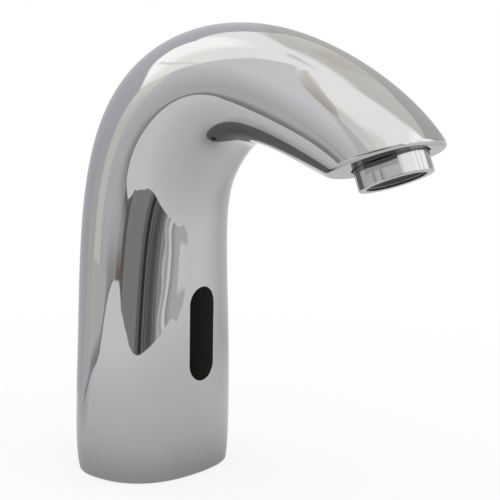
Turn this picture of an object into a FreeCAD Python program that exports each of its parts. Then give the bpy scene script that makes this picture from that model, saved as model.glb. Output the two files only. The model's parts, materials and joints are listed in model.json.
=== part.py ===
import FreeCAD, Part
import itertools
import math
import os
import re
import Sketcher
from FreeCAD import Placement, Rotation, Vector

# Sensor tap, in millimetres.  +Z up, the spout points along -Y, X across.
# z = 0 is the deck, the origin is the middle of the base.

os.makedirs("parts", exist_ok=True)
doc = FreeCAD.newDocument("sensor_tap")
sheet = doc.addObject("Spreadsheet::Sheet", "sizes")

# ---------------------------------------------------------------- sizes
SIZES = """
wall 2.8                 cast wall
base_break 0.5           chamfer of the base edge
tip_round 1.6            rounding of the outlet rim
corner_base 1.055        squareness of the oval at the base
corner_tip 1.035         squareness of the oval at the tip
plate_thick 6            base plate
plate_fit 0.25           gap round the base plate
stud_gap_x 15            deck studs, to each side
stud_y -9
stud_core 2.6            M6 tapped hole
stud_clear 3.2
stud_boss 4.5
boss_top 16
lock_x -5                screw that holds the base plate
lock_y -12
lock_boss 3.5
lock_rad 1.75
seal_out 4.3             deck seal, in from the outer skin
seal_in 6.3
seal_deep 1.5
slip 0.05                running fit
window_z 53              sensor window, centre height
window_half_x 6.5
window_half_z 17.5
land_half_x 8.6
land_half_z 19.6
land_u 21.3              seat of the gasket in the front wall
gasket_thick 0.6
flange_half_x 8.2
flange_half_z 19.2
flange_back 19.3
case_back 10
case_wall 1.5
ear_front 14
ear_thick 2
lug_x 12.5
lug_rad 3
small_rad 1.45           M3 screw
board_back 11.6
board_thick 1.2
valve_x -6               solenoid valve axis
valve_y 4
valve_low 11
valve_rad 13.5
valve_step 17
valve_top 24
inlet_x -13              M10 inlet
inlet_rad 4.55
inlet_long 10.5
sieve_rad 3.9
bonnet_screws 11.35      from the valve axis to each screw
spigot_rad 7
spigot_hole 7.3
channel_z 11
channel_rad 3
seat_bore 3.2
seat_rad 4.4
seat_z 22.6
chamber_rad 9
chamber_z 16.5
rim_rad 9.8
port_x 16.5              outlet port, M12
port_col 7
port_col_top 20
port_rad 6
port_top 27
bonnet_top 31
armature_out 4.8
armature_in 4.3
armature_top 50.3
plunger_rad 4.25
plunger_foot 25.8
plunger_top 44
core_foot 45.6
core_stud 2.5
coil_low 32.4
coil_high 50.2
tube_rad 4
tube_bore 3.2
nut_low 21.5
nut_high 32
outlet_u 103.16          middle of the aerator on the outlet face
outlet_z 119
outlet_tilt 20.746
rebate_rad 13.05         counterbore round the aerator
rebate_deep 2.5
thread_rad 12.05
thread_deep 10
mixing_rad 9
mixing_deep 13.5
end_wall 4
boss_rad 16
ring_rad 12.5            aerator ring
ring_drop 7
ring_male 12
ring_bore 10.4
ring_lip 10
lip_thick 0.8
flat_half 11.1           spanner flats
flat_ledge 3.2
flat_turn 14
ring_up 7.4
feed_tilt 60             feed socket, from upright
feed_rad 3.4
feed_start 11.7
socket_rad 5.45
socket_from 11
socket_to 21
socket_boss 8
jack_x 5                 supply socket
jack_y -12
jack_rad 4
jack_hole 1.8
jack_deep 12
lead_rad 1.2
"""

# Control rows of the skin, base to tip: back u, back z, front u, front z, half width.
# u is the distance forward of the base's middle, along -Y.
SKIN_ROWS = (
    (-23.5, 0, 23.5, 0, 29.5),
    (-25, 7, 24, 10, 32),
    (-23.5, 48, 24.5, 56.5, 30.5),
    (-26.5, 107.5, 24.5, 100, 26.5),
    (-9, 156, 32.5, 112.5, 24.5),
    (54.5, 174.5, 46, 130, 23.5),
    (109, 140.5, 77.5, 114.5, 23),
    (119, 125, 86, 112.5, 23),
)
ROW_WORDS = ("back_u", "back_z", "front_u", "front_z", "half_w")

line_no = 0
for text in SIZES.strip().splitlines():
    word, value, *note = text.split(None, 2)
    line_no += 1
    sheet.set(f"A{line_no}", word)
    sheet.set(f"B{line_no}", value)
    sheet.set(f"C{line_no}", note[0] if note else "")
    sheet.setAlias(f"B{line_no}", word)
for row, letter in zip(SKIN_ROWS, "abcdefgh"):
    for word, value in zip(ROW_WORDS, row):
        line_no += 1
        sheet.set(f"A{line_no}", f"{word}_{letter}")
        sheet.set(f"B{line_no}", str(value))
        sheet.setAlias(f"B{line_no}", f"{word}_{letter}")
doc.recompute()


# ---------------------------------------------------------------- helpers
def linked(text):
    """Words become references to the sheet."""
    return re.sub(r"\b(?!sin\b|cos\b)[a-z_]{3,}", lambda m: "sizes." + m.group(), text)


def size(text):
    return float(sheet.evalExpression(linked(text)))


def bind(obj, prop, text):
    obj.setExpression(prop, linked(text))


def place(obj, at, axis=None, turn="0"):
    """Position by three expressions, then a turn about an axis by a fourth."""
    base = Vector(*(size(t) for t in at))
    spin = Rotation(Vector(*axis), size(turn)) if axis else Rotation()
    obj.Placement = Placement(base, spin)
    for letter, text in zip("xyz", at):
        bind(obj, f"Placement.Base.{letter}", text)
    return obj


def plane_of(body, role):
    return next(f for f in body.Origin.OriginFeatures if f.Role == role)


def sketch_on(body, role):
    sketch = body.newObject("Sketcher::SketchObject", body.Label + "_sketch")
    sketch.AttachmentSupport = [(plane_of(body, role), "")]
    sketch.MapMode = "FlatFace"
    return sketch


def polygon(sketch, points):
    """Closed outline; every corner is held to the sheet by its two coordinates."""
    pairs = [p.split(",") for p in points.split()]
    spots = [Vector(size(a), size(b), 0) for a, b in pairs]
    count = len(spots)
    for i in range(count):
        sketch.addGeometry(Part.LineSegment(spots[i], spots[(i + 1) % count]), False)
    for i in range(count):
        sketch.addConstraint(Sketcher.Constraint("Coincident", i, 2, (i + 1) % count, 1))
    for i, (pair, spot) in enumerate(zip(pairs, spots)):
        for kind, text, value in zip(("DistanceX", "DistanceY"), pair, (spot.x, spot.y)):
            n = sketch.addConstraint(Sketcher.Constraint(kind, -1, 1, i, 1, value))
            if re.search("[a-z]", text):
                bind(sketch, f"Constraints[{n}]", text)


def turned(name, points, at=("0", "0", "0"), axis=None, turn="0"):
    """A piece turned about its own Z from an outline of (radius, height) corners."""
    body = doc.addObject("PartDesign::Body", name)
    sketch = sketch_on(body, "XZ_Plane")
    polygon(sketch, points)
    spin = body.newObject("PartDesign::Revolution", name + "_turned")
    spin.Profile = sketch
    spin.ReferenceAxis = (sketch, ["V_Axis"])
    spin.Angle = 360
    sketch.Visibility = False
    return place(body, at, axis, turn)


def padded(name, role, points, length, at=("0", "0", "0"), axis=None, turn="0"):
    """A straight prism from an outline."""
    body = doc.addObject("PartDesign::Body", name)
    sketch = sketch_on(body, role)
    polygon(sketch, points)
    pad = body.newObject("PartDesign::Pad", name + "_pad")
    pad.Profile = sketch
    pad.Length = size(length)
    if re.search("[a-z]", length):
        bind(pad, "Length", length)
    return place(body, at, axis, turn)


def pill(name, half_x, half_z, u_from, u_to):
    """A round-ended upright slot or block, from one depth to another along -Y."""
    body = doc.addObject("PartDesign::Body", name)
    sketch = sketch_on(body, "XZ_Plane")
    rad, mid = size(half_x), size(f"{half_z}-({half_x})")
    half = math.pi
    sketch.addGeometry(Part.ArcOfCircle(Part.Circle(Vector(0, mid, 0), Vector(0, 0, 1), rad), 0, half))
    sketch.addGeometry(Part.LineSegment(Vector(-rad, mid, 0), Vector(-rad, -mid, 0)))
    sketch.addGeometry(Part.ArcOfCircle(Part.Circle(Vector(0, -mid, 0), Vector(0, 0, 1), rad), half, 2 * half))
    sketch.addGeometry(Part.LineSegment(Vector(rad, -mid, 0), Vector(rad, mid, 0)))
    for i in range(4):
        sketch.addConstraint(Sketcher.Constraint("Tangent", i, 2, (i + 1) % 4, 1))
    sketch.addConstraint(Sketcher.Constraint("Vertical", 1))
    sketch.addConstraint(Sketcher.Constraint("Vertical", 3))
    sketch.addConstraint(Sketcher.Constraint("PointOnObject", 0, 3, -2))
    n = sketch.addConstraint(Sketcher.Constraint("Radius", 0, rad))
    bind(sketch, f"Constraints[{n}]", half_x)
    n = sketch.addConstraint(Sketcher.Constraint("DistanceY", -1, 1, 0, 3, mid))
    bind(sketch, f"Constraints[{n}]", f"{half_z}-({half_x})")
    n = sketch.addConstraint(Sketcher.Constraint("DistanceY", 2, 3, -1, 1, mid))
    bind(sketch, f"Constraints[{n}]", f"{half_z}-({half_x})")
    pad = body.newObject("PartDesign::Pad", name + "_pad")
    pad.Profile = sketch
    pad.Length = size(f"{u_to}-({u_from})")
    bind(pad, "Length", f"{u_to}-({u_from})")
    return place(body, ("0", f"-({u_from})", "window_z"))


def rod(name, rad, length, at, axis=None, turn="0"):
    obj = doc.addObject("Part::Cylinder", name)
    bind(obj, "Radius", rad)
    bind(obj, "Height", length)
    return place(obj, at, axis, turn)


def block(name, sides, at, axis=None, turn="0"):
    obj = doc.addObject("Part::Box", name)
    for prop, text in zip(("Length", "Width", "Height"), sides):
        bind(obj, prop, text)
    return place(obj, at, axis, turn)


def joined(name, *objs):
    obj = doc.addObject("Part::MultiFuse", name)
    obj.Shapes = list(objs)
    return obj


def shared(name, *objs):
    obj = doc.addObject("Part::MultiCommon", name)
    obj.Shapes = list(objs)
    return obj


def cut(name, base, *tools):
    obj = doc.addObject("Part::Cut", name)
    obj.Base = base
    obj.Tool = tools[0] if len(tools) == 1 else joined(name + "_tools", *tools)
    return obj


def shaped(name, shape):
    obj = doc.addObject("Part::Feature", name)
    obj.Shape = shape
    return obj


def outlet(height="0", back="0"):
    """A point by its height above the outlet face and its distance behind the aerator's axis."""
    return ("0",
            f"-outlet_u+({height})*sin(outlet_tilt)+({back})*cos(outlet_tilt)",
            f"outlet_z+({height})*cos(outlet_tilt)-({back})*sin(outlet_tilt)")


X_AXIS = (1, 0, 0)
LEAN = dict(axis=X_AXIS, turn="-outlet_tilt")      # own Z along the aerator's axis, inwards
FORWARD = dict(axis=X_AXIS, turn="90")             # own Z along -Y
SIDEWAYS = dict(axis=(0, 1, 0), turn="90")         # own Z along +X


# ---------------------------------------------------------------- the skin
def skin(inset):
    """Closed solid of the swept oval, drawn in by inset: a cubic net of 8 rows of 8."""
    rows = []
    for n, letter in enumerate("abcdefgh"):
        bu, bz, fu, fz, half_w = (size(f"{w}_{letter}") for w in ROW_WORDS)
        square = size("corner_base") + size("corner_tip-corner_base") * n / 7
        diagonal = (6 * square - 2.1213) / 3.5
        straight = 1.5 - 0.35355 * diagonal
        reach = 1 - inset / math.hypot((fu - bu) / 2, (fz - bz) / 2)
        row = []
        for k in range(8):
            angle = math.pi / 4 * (k + 3)           # the seam runs up the back
            r = diagonal if k % 2 == 0 else straight
            along = r * math.cos(angle) * reach / 2
            row.append(Vector((half_w - inset) * r * math.sin(angle),
                              -((bu + fu) / 2 + (fu - bu) * along),
                              (bz + fz) / 2 + (fz - bz) * along))
        rows.append(row)
    net = Part.BSplineSurface()
    net.buildFromPolesMultsKnots(rows, [4, 1, 1, 1, 1, 4], [1] * 9,
                                 [0, 0.2, 0.4, 0.6, 0.8, 1], list(range(9)), False, True, 3, 3)
    side = net.toShape().reversed()
    caps = [Part.Face(Part.Wire([e])) for e in side.Edges if e.isClosed()]
    shell = Part.makeShell([side] + caps)
    shell.sewShape()
    solid = Part.makeSolid(shell)
    solid.fix(1e-6, 1e-6, 1e-6)
    return solid, net


def rim(solid, pick):
    """The edge of the highest or lowest flat end."""
    ends = [f for f in solid.Faces if isinstance(f.Surface, Part.Plane)]
    return pick(ends, key=lambda f: f.CenterOfMass.z).Edges


full, net = skin(0)
rounded = full.makeFillet(size("tip_round"), rim(full, max))
rounded = rounded.makeChamfer(size("base_break"), rim(rounded, min))
outer_skin = shaped("outer_skin", rounded)
BACK, FRONT, SIDE = 0, 4, 2                         # places round the net


def oval(at, inset, shift=0.0):
    """Closed wire of four tangent arcs, drawn in from the net's section at one station."""
    back, front, side = (net.value(at, v) for v in (BACK, FRONT, SIDE))
    middle, along = (back + front) / 2, (back - front).normalize()
    half_x = abs(side.x) - inset
    half_y = (back - front).Length / 2 - inset
    end_rad = (half_y - 0.41421 * half_x) / 0.58579
    spot_x, spot_y = half_x - 0.29289 * end_rad, 0.70711 * end_rad

    def spot(x, y):
        return middle + Vector(x, 0, shift) + along * y
    joints = [spot(sx * spot_x, sy * spot_y) for sx, sy in ((1, -1), (1, 1), (-1, 1), (-1, -1))]
    crowns = [spot(half_x, 0), spot(0, half_y), spot(-half_x, 0), spot(0, -half_y)]
    return Part.Wire([Part.Arc(joints[i], crowns[i], joints[(i + 1) % 4]).toShape() for i in range(4)])


def oval_block(name, inset, low, high):
    """A flat block of the base oval between two heights."""
    face = Part.Face(oval(0, inset, low))
    return shaped(name, face.extrude(Vector(0, 0, high - low)))


def ring_band(name, outside, inside, deep):
    """A band of the base oval, both insets measured in from the outer skin."""
    return cut(name, oval_block(name + "_wide", outside, 0, deep),
               oval_block(name + "_narrow", inside, -1, deep + 1))


def swept(name, corners, radii, rad, bore=0.0):
    """A round bar or tube along straight runs, with a bend at each inner corner."""
    spots = [Vector(*c) for c in corners]
    edges, start = [], spots[0]
    for before, corner, after, bend in zip(spots, spots[1:], spots[2:], radii):
        a, b = (corner - before).normalize(), (after - corner).normalize()
        half = a.getAngle(b) / 2
        run = bend * math.tan(half)
        mid = corner + (b - a).normalize() * bend * (1 / math.cos(half) - 1)
        edges += [Part.LineSegment(start, corner - a * run), Part.Arc(corner - a * run, mid, corner + b * run)]
        start = corner + b * run
    edges.append(Part.LineSegment(start, spots[-1]))
    path = Part.Wire([e.toShape() for e in edges])
    solids = []
    for r in (rad, bore):
        if r:
            ring = Part.Circle(spots[0], spots[1] - spots[0], r).toShape()
            solids.append(path.makePipe(Part.Face(Part.Wire([ring]))))
    return shaped(name, solids[0].cut(solids[1]) if bore else solids[0])


HEX = " ".join(f"({{0}})/cos(30)*cos({a}),({{0}})/cos(30)*sin({a})" for a in range(0, 360, 60))


def socketed(name, half, deep, spots, *screws, **turn):
    """Screws with a hexagon socket let in at each spot; half is half its width across the flats."""
    blanks = joined(name + "_blanks", *screws) if len(screws) > 1 else screws[0]
    return cut(name, blanks, *(padded(f"{name}_socket_{n}", "XY_Plane", HEX.format(half), deep, spot, **turn)
                               for n, spot in enumerate(spots)))



def feed(back):
    """A point on the feed line, by its distance back from the mixing chamber."""
    x, y, z = outlet("feed_start")
    return (x, f"{y}+({back})*sin(feed_tilt)", f"{z}+({back})*cos(feed_tilt)")


FEED = dict(axis=X_AXIS, turn="-feed_tilt")        # own Z back along the feed line

# ---------------------------------------------------------------- body casting
# Hollow skin; the outlet end keeps a wall and a boss round the aerator thread.
end_stop = block("end_stop", ("100", "100", "50"),
                 ("-50", "-outlet_u-50*cos(outlet_tilt)+(end_wall-50)*sin(outlet_tilt)",
                  "outlet_z+50*sin(outlet_tilt)+(end_wall-50)*cos(outlet_tilt)"), **LEAN)
STATIONS = (0, 0.06, 0.14, 0.34, 0.44, 0.52, 0.59, 0.65, 0.71, 0.77, 0.84, 0.92, 1)
core_rings = [oval(0, size("wall"), shift) for shift in (-1, 7)]
core_rings += [oval(at, size("wall")) for at in STATIONS[2:]]
core = shaped("core", Part.makeLoft(core_rings, True, True))
cavity = cut("cavity", core, end_stop)
hollow = cut("hollow", outer_skin, cavity)
outlet_bosses = shared(
    "outlet_bosses", outer_skin,
    joined("boss_blanks",
           rod("aerator_boss", "boss_rad", "mixing_deep+0.5", outlet("0.5"), **LEAN),
           rod("feed_boss", "socket_boss", "socket_to", feed("0"), **FEED)))
inside = [
    outlet_bosses,
    rod("lock_post", "lock_boss", "boss_top-plate_thick", ("lock_x", "lock_y", "plate_thick")),
    block("lock_web", ("4", "9", "boss_top-plate_thick"), ("lock_x-2", "-21.4", "plate_thick")),
    block("back_stop", ("6", "8", "6"), ("5", "13.5", "plate_thick")),
]
for side, sign in (("left", "-"), ("right", "")):
    inside += [
        rod(side + "_stud_post", "stud_boss", "boss_top-plate_thick",
            (sign + "stud_gap_x", "stud_y", "plate_thick")),
        block(side + "_stud_web", ("11", "4", "boss_top-plate_thick"),
              ("stud_gap_x" if not sign else "-stud_gap_x-11", "stud_y-2", "plate_thick")),
        rod(side + "_lug", "lug_rad", "6.2", (sign + "lug_x", "-ear_front", "window_z"), **FORWARD),
    ]
casting_tools = [
    pill("window_slot", "window_half_x", "window_half_z", "ear_front", "30"),
    pill("gasket_seat", "land_half_x", "land_half_z", "ear_front", "land_u"),
    rod("rebate", "rebate_rad", "rebate_deep+3", outlet("-3"), **LEAN),
    rod("outlet_thread", "thread_rad", "thread_deep+1", outlet("-1"), **LEAN),
    rod("mixing_chamber", "mixing_rad", "mixing_deep", outlet("0"), **LEAN),
    rod("feed_hole", "feed_rad", "socket_to", feed("0"), **FEED),
    rod("feed_socket", "socket_rad", "socket_to", feed("socket_from"), **FEED),
    rod("lock_hole", "lock_rad", "9", ("lock_x", "lock_y", "plate_thick-1")),
]
for side, sign in (("left", "-"), ("right", "")):
    casting_tools += [
        rod(side + "_stud_thread", "stud_core", "20", (sign + "stud_gap_x", "stud_y", "plate_thick-1")),
        rod(side + "_lug_hole", "small_rad+slip", "5.5", (sign + "lug_x", "-13.5", "window_z"), **FORWARD),
    ]
body_casting = cut("body_casting", joined("casting_blank", hollow, *inside), *casting_tools)

# ---------------------------------------------------------------- base
plate_tools = [
    rod("spigot_way", "spigot_hole", "20", ("inlet_x", "valve_y", "-5")),
    rod("jack_way", "jack_rad+0.1", "20", ("jack_x", "jack_y", "-5")),
    turned("lock_sink", "0,-1 3.75,-1 3.75,0.1 1.85,2 1.85,7 0,7", ("lock_x", "lock_y", "0")),
    ring_band("seal_groove", size("seal_out"), size("seal_in"), size("seal_deep")),
]
for side, sign in (("left", "-"), ("right", "")):
    plate_tools.append(rod(side + "_stud_way", "stud_clear", "20", (sign + "stud_gap_x", "stud_y", "-5")))
VALVE_SCREWS = ("-3", "11")
for n, y in enumerate(VALVE_SCREWS):
    plate_tools.append(turned(f"valve_sink_{n}", "0,-1 3.1,-1 3.1,0.1 1.55,1.65 1.55,7 0,7", ("-3", y, "0")))
plate_blank = oval_block("plate_blank", size("wall+plate_fit"), 0, size("plate_thick"))
base_plate = cut("base_plate", plate_blank, *plate_tools)
base_seal = ring_band("base_seal", size("seal_out+slip"), size("seal_in-slip"), size("seal_deep-slip"))
lock_screw = socketed(
    "base_plate_screw", "1.25", "1.5", [("lock_x", "lock_y", "0")],
    turned("lock_screw_blank", "0,0.2 3.55,0.2 lock_rad-slip,2.05 lock_rad-slip,14 0,14", ("lock_x", "lock_y", "0")))
valve_screws = socketed("valve_screws", "1", "1.3", [("-3", y, "0") for y in VALVE_SCREWS], *(
    turned(f"valve_screw_{n}", "0,0.2 2.9,0.2 small_rad,1.65 small_rad,12 0,12", ("-3", y, "0"))
    for n, y in enumerate(VALVE_SCREWS)))

# ---------------------------------------------------------------- valve
VALVE = ("valve_x", "valve_y", "0")
INLET = ("inlet_x", "valve_y", "0")
PORT = ("port_x", "valve_y", "0")
SCREW_RING = [(f"valve_x+bonnet_screws*cos({a})", f"valve_y+bonnet_screws*sin({a})") for a in (45, 135, 225, 315)]


def upright(name, rad, low, high, spot):
    return rod(name, rad, f"{high}-({low})", (spot[0], spot[1], low))


valve_blank = joined(
    "valve_blank",
    upright("valve_lower", "valve_low", "plate_thick", "valve_step", VALVE),
    upright("valve_upper", "valve_rad", "valve_step", "valve_top", VALVE),
    upright("inlet_spigot", "spigot_rad", "0", "valve_step", INLET),
    upright("port_column", "port_col", "plate_thick", "port_col_top", PORT),
    upright("port_neck", "port_rad", "port_col_top", "port_top", PORT),
    block("valve_arm", ("port_x-valve_x", "10", "10"), ("valve_x", "valve_y-5", "plate_thick")))
valve_tools = [
    upright("inlet_thread", "inlet_rad", "-1", "inlet_long", INLET),
    upright("sieve_seat", "sieve_rad", "inlet_long-1", "12", INLET),
    upright("sieve_room", "3.6", "11", "16", INLET),
    upright("inlet_way", "2.8", "15", "chamber_z+0.5", INLET),
    turned("valve_chamber", "seat_rad,chamber_z chamber_rad,chamber_z chamber_rad,seat_z rim_rad,seat_z "
           "rim_rad,valve_top+1 0,valve_top+1 0,seat_z seat_rad,seat_z", VALVE),
    upright("seat_way", "seat_bore", "channel_z", "seat_z+1", VALVE),
    rod("channel", "channel_rad", "40", ("valve_x", "valve_y", "channel_z"), **SIDEWAYS),
    upright("port_way", "tube_bore", "channel_z", "nut_low+1", PORT),
    upright("port_socket", "tube_rad+slip", "nut_low", "port_top+1", PORT),
    turned("spigot_groove", "5.9,2.5 8,2.5 8,4.5 5.9,4.5", INLET),
]
for n, y in enumerate(VALVE_SCREWS):
    valve_tools.append(upright(f"valve_tap_{n}", "small_rad+slip", "plate_thick-1", "12.5", ("-3", y)))
for n, spot in enumerate(SCREW_RING):
    valve_tools.append(upright(f"bonnet_tap_{n}", "1.3", "18.5", "valve_top+1", spot))
valve_body = cut("valve_body", valve_blank, *valve_tools)

inlet_o_ring = turned("inlet_o_ring", "5.95,2.9 6.25,2.6 6.95,2.6 7.25,2.9 7.25,4.1 6.95,4.4 6.25,4.4 5.95,4.1",
                      INLET)
sieve_cup = turned("sieve_cup", "2.8,10.6 sieve_rad-slip,10.6 sieve_rad-slip,11.6 3.4,11.6 3.4,15.6 0,15.6 "
                   "0,15 2.8,15", INLET)
sieve_slots = [block(f"sieve_slot_{a}", ("8", "0.9", "2.4"),
                     (f"inlet_x-4*cos({a})+0.45*sin({a})", f"valve_y-4*sin({a})-0.45*cos({a})", "12.2"),
                     axis=(0, 0, 1), turn=str(a)) for a in range(0, 180, 45)]
inlet_strainer = cut("inlet_strainer", sieve_cup, *sieve_slots)
channel_plug = rod("channel_plug", "channel_rad-slip", "3", ("20.4", "valve_y", "channel_z"), **SIDEWAYS)

membrane = turned("diaphragm_membrane", "2.15,seat_z+0.02 rim_rad-0.1,seat_z+0.02 rim_rad-0.1,valve_top-0.02 "
                  "2.15,valve_top-0.02", VALVE)
insert = turned("diaphragm_insert", "0.6,19.5 3,19.5 3,22.5 2.1,22.5 2.1,24.05 5,24.05 5,24.9 1.5,24.9 "
                "1.5,25.55 0.6,25.55", VALVE)
bonnet_tools = [
    turned("bonnet_room", "0,valve_top-1 8,valve_top-1 8,27 6.7,27 6.7,28.55 6,28.55 6,29.7 4.85,29.7 "
           "4.85,bonnet_top+1 0,bonnet_top+1", VALVE)]
for n, spot in enumerate(SCREW_RING):
    bonnet_tools.append(upright(f"bonnet_hole_{n}", "1.4", "valve_top-1", "bonnet_top+1", spot))
valve_bonnet = cut("valve_bonnet", upright("bonnet_blank", "valve_rad", "valve_top", "bonnet_top", VALVE),
                   *bonnet_tools)
bonnet_fixings = socketed("bonnet_fixings", "0.9", "2", [spot + ("31.1",) for spot in SCREW_RING], *(
    turned(f"bonnet_screw_{n}", "0,19 1.25,19 1.25,bonnet_top 2.1,bonnet_top 2.1,32.2 0,32.2",
           (spot[0], spot[1], "0")) for n, spot in enumerate(SCREW_RING)))
bonnet_fixings.Label = "bonnet_screws"

armature_tube = turned("armature_tube", "armature_in,27 6.6,27 6.6,28.5 armature_out,28.5 "
                       "armature_out,armature_top armature_in,armature_top", VALVE)
armature_ring = turned("armature_o_ring", "4.9,28.8 5.1,28.6 5.7,28.6 5.95,28.8 5.95,29.4 5.7,29.6 5.1,29.6 "
                       "4.9,29.4", VALVE)
plunger = turned("plunger", "2.2,plunger_foot plunger_rad,plunger_foot plunger_rad,plunger_top "
                 "2.5,plunger_top 2.5,36 0,36 0,28 2.2,28", VALVE)
plunger_seal = turned("plunger_seal", "0,25.6 2.15,25.6 2.15,27.95 0,27.95", VALVE)
fixed_core = turned("fixed_core", "0,core_foot plunger_rad,core_foot plunger_rad,armature_top "
                    "core_stud,armature_top core_stud,56 0,56", VALVE)

# The coil is a chain of half turns, tilted to and fro, so each meets the next level.
HALF_TURNS, COIL_RAD, WIRE = 9, 2.0, 0.3
low, high = 36 + WIRE + 0.1, size("core_foot") - WIRE - 0.1
rise = (high - low) / HALF_TURNS
top_rad = math.hypot(COIL_RAD, rise / 2)
arcs = []
for n in range(HALF_TURNS):
    side, z = (-1) ** n, low + n * rise
    three = (side * COIL_RAD, 0, z), (0, side * top_rad, z + rise / 2), (-side * COIL_RAD, 0, z + rise)
    arcs.append(Part.Arc(*(Vector(*p) for p in three)).toShape())
start = Part.Circle(Vector(COIL_RAD, 0, low), Vector(0, 1, 0), WIRE).toShape()
coil = Part.Wire(arcs).makePipe(Part.Face(Part.Wire([start])))
coil.translate(Vector(size("valve_x"), size("valve_y"), 0))
plunger_spring = shaped("plunger_spring", coil)

bobbin = turned("coil_bobbin", "4.95,coil_low 8.8,coil_low 8.8,33.6 5.9,33.6 5.9,49 8.8,49 8.8,coil_high "
                "4.95,coil_high", VALVE)
winding = turned("coil_winding", "5.95,33.65 8.4,33.65 8.4,48.95 5.95,48.95", VALVE)
yoke_frame = padded("yoke_frame", "XZ_Plane", "-9,31.05 10.6,31.05 10.6,51.55 -9,51.55 -9,50.35 9.4,50.35 "
                    "9.4,32.25 -9,32.25", "10.8", ("valve_x", "valve_y+5.4", "0"))
coil_yoke = cut("coil_yoke", yoke_frame,
                upright("yoke_low_hole", "armature_out+0.1", "30", "34", VALVE),
                upright("yoke_top_hole", "core_stud+0.1", "49", "53", VALVE))
coil_nut = cut("coil_nut", padded("coil_nut_hex", "XY_Plane", HEX.format("4"), "2.9", ("valve_x", "valve_y", "51.6")),
               upright("coil_nut_hole", "core_stud+slip", "50", "56", VALVE))

# ---------------------------------------------------------------- water way to the outlet
port = (size("port_x"), size("valve_y"))
route = [port + (size("nut_low"),), port + (112.0,)]
route += [tuple(size(t) for t in feed(back)) for back in ("45", "12")]
water_tube = swept("water_tube", route, (30, 22), size("tube_rad"), size("tube_bore"))
tube_olive = turned("tube_olive", "tube_rad+slip,27.1 5.2,27.1 5.6,27.9 5.6,28.8 5.2,29.6 tube_rad+slip,29.6", PORT)
tube_nut = cut("tube_nut", padded("tube_nut_hex", "XY_Plane", HEX.format("7"), "nut_high-nut_low",
                                  ("port_x", "valve_y", "nut_low")),
               upright("tube_nut_bore", "port_rad+slip", "nut_low-1", "29.8", PORT),
               upright("tube_nut_hole", "tube_rad+0.15", "29", "nut_high+1", PORT))
feed_spigot = turned("feed_spigot", "tube_rad+slip,12 socket_rad-slip,12 socket_rad-slip,14.9 4.55,14.9 4.55,15.9 "
                     "socket_rad-slip,15.9 socket_rad-slip,20 tube_rad+slip,20", feed("0"), **FEED)
feed_ring = turned("feed_o_ring", "4.6,15.1 4.75,14.95 5.25,14.95 5.42,15.1 5.42,15.7 5.25,15.85 4.75,15.85 "
                   "4.6,15.7", feed("0"), **FEED)

# ---------------------------------------------------------------- sensor
window_plug = shared("window_plug", outer_skin,
                     pill("window_blank", "window_half_x-slip", "window_half_z-slip", "flange_back", "30"))
sensor_window = joined("sensor_window", window_plug,
                       pill("window_flange", "flange_half_x", "flange_half_z", "flange_back", "land_u-gasket_thick"))
sensor_gasket = cut("sensor_gasket",
                    pill("gasket_sheet", "flange_half_x", "flange_half_z", "land_u-gasket_thick", "land_u"),
                    pill("gasket_hole", "window_half_x+0.3", "window_half_z+0.3", "ear_front", "30"))
case_tools = [
    pill("case_room", "flange_half_x-1.3", "flange_half_z-1.3", "case_back+case_wall", "25"),
    rod("supply_way", "lead_rad+0.1", "4", ("2", "-8.5", "42"), **FORWARD),
    rod("coil_way", "lead_rad+0.1", "4", ("-2", "-8.5", "58"), **FORWARD)]
for side, sign in (("left", "-"), ("right", "")):
    case_tools.append(rod(side + "_ear_hole", "small_rad+0.1", "6", (sign + "lug_x", "-10", "window_z"), **FORWARD))
case_blank = joined("case_blank", pill("case_block", "flange_half_x", "flange_half_z", "case_back", "flange_back"),
                    block("case_ears", ("31", "ear_thick", "6"), ("-15.5", "-ear_front", "window_z-3")))
sensor_case = cut("sensor_case", case_blank, *case_tools)
CASE_SCREWS = [(x, "-9.8", "window_z") for x in ("-lug_x", "lug_x")]
case_screws = socketed("sensor_case_screws", "1", "1.2", CASE_SCREWS, *(
    turned(f"case_screw_{n}", "0,0 2.7,0 2.7,2.15 small_rad,2.15 small_rad,8.6 0,8.6", spot, **FORWARD)
    for n, spot in enumerate(CASE_SCREWS)), **FORWARD)
sensor_board = pill("sensor_board", "flange_half_x-1.4", "flange_half_z-1.4", "board_back", "board_back+board_thick")
LAMP = "0,0 2.5,0 2.5,4 2.2,5.2 1.2,6 0,6.2"
emitter = turned("ir_emitter", LAMP, ("0", "-board_back-board_thick-0.05", "window_z+10"), **FORWARD)
receiver = turned("ir_receiver", LAMP, ("0", "-board_back-board_thick-0.05", "window_z-10"), **FORWARD)
chip = block("control_chip", ("5", "1.2", "5"), ("-5.2", "-board_back-board_thick-1.25", "window_z-2.5"))
capacitor = rod("storage_capacitor", "1.8", "4.5", ("3.4", "-board_back-board_thick-0.05", "window_z-0.5"), **FORWARD)

supply_socket = turned("supply_socket", "jack_hole,0 jack_rad,0 jack_rad,6.02 5.3,6.02 5.3,7.5 jack_rad,7.5 "
                       "jack_rad,14 0,14 0,jack_deep jack_hole,jack_deep", ("jack_x", "jack_y", "0"))
supply_lead = swept("supply_lead", [(5, -12, 14.1), (5, -12, 22), (2, -5.5, 42), (2, -11.5, 42)], (6, 3),
                    size("lead_rad"))
coil_lead = swept("coil_lead", [(-6, -4.95, 49.6), (-6, -7.6, 49.6), (-2, -7.6, 58), (-2, -11.5, 58)], (1.8, 1.8),
                  size("lead_rad"))

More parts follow.
